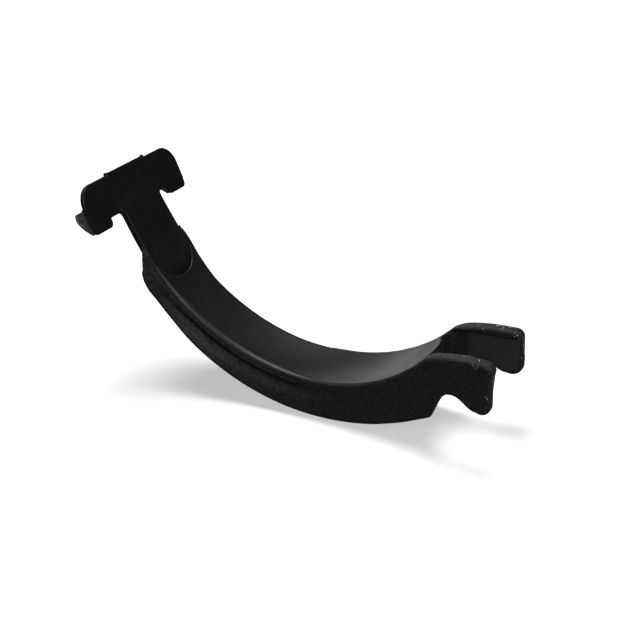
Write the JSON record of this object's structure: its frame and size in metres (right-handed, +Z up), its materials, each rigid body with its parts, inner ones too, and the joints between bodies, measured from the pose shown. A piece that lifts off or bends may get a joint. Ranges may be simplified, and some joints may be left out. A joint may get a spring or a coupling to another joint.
{
  "type": "violin shoulder rest",
  "caption": "Black moulded violin shoulder rest: a curved saddle bar with a padded underside, a sliding hooked foot on a thin neck and a forked tail with lobed ears.",
  "frame": {"origin": "middle of the overall length and width, on the plane the underside pad rests on", "axes": "+X from the hooked foot to the forked tail, +Y across the bar, +Z up; the bar is drawn lying on its convex underside"},
  "size_m": [0.2312, 0.09, 0.1173],
  "materials": {
    "moulded_frame": "black moulded nylon with a coarse mould texture",
    "moulded_cover": "black moulded nylon, fine grain, low sheen",
    "moulded_foot": "smooth black moulded nylon",
    "moulded_clamp": "smooth black moulded acetal",
    "backing_board": "plain black sheet",
    "pad_fabric": "black knitted fabric over foam",
    "grip_rubber": "matt black rubber",
    "guide_plastic": "dark self-lubricating acetal",
    "nut_brass": "turned brass",
    "steel": "zinc-plated steel",
    "spring_steel": "spring steel strip"
  },
  "bodies": {
    "frame": {"frame_shell": "moulded_frame", "saddle_cover": "moulded_cover", "cover_screws": "steel", "spine_strip": "steel", "spine_screws": "steel", "pad_backing": "backing_board", "shoulder_pad": "pad_fabric", "pad_studs": "backing_board", "fork_grip_near": "grip_rubber", "fork_grip_far": "grip_rubber", "slide_guides": "guide_plastic", "lock_nut": "nut_brass", "stop_pin": "steel", "pressure_shoe": "guide_plastic"},
    "foot": {"foot_arm": "moulded_foot", "back_plate": "steel", "back_plate_screws": "steel", "clamp_springs": "spring_steel"},
    "clamp": {"clamp_slider": "moulded_clamp", "hook_liners": "grip_rubber"},
    "lock": {"lock_screw": "steel", "lock_knob": "moulded_foot"}
  },
  "joints": [
    {"name": "foot_slide", "type": "slide", "parent": "frame", "child": "foot", "axis": [-0.5592, 0, 0.829], "range_m": [0, 0.012]},
    {"name": "clamp_slide", "type": "slide", "parent": "foot", "child": "clamp", "axis": [0.4051, 0, -0.9143], "range_m": [0, 0.004], "stiffness_N_per_m": 600, "springref_m": -0.002, "deforming": ["clamp_springs"]},
    {"name": "lock_screw_turn", "type": "hinge", "parent": "frame", "child": "lock", "pos_m": [-0.08236, 0, 0.05086], "axis": [0.829, 0, 0.5592], "range_deg": [-360, 0]}
  ]
}
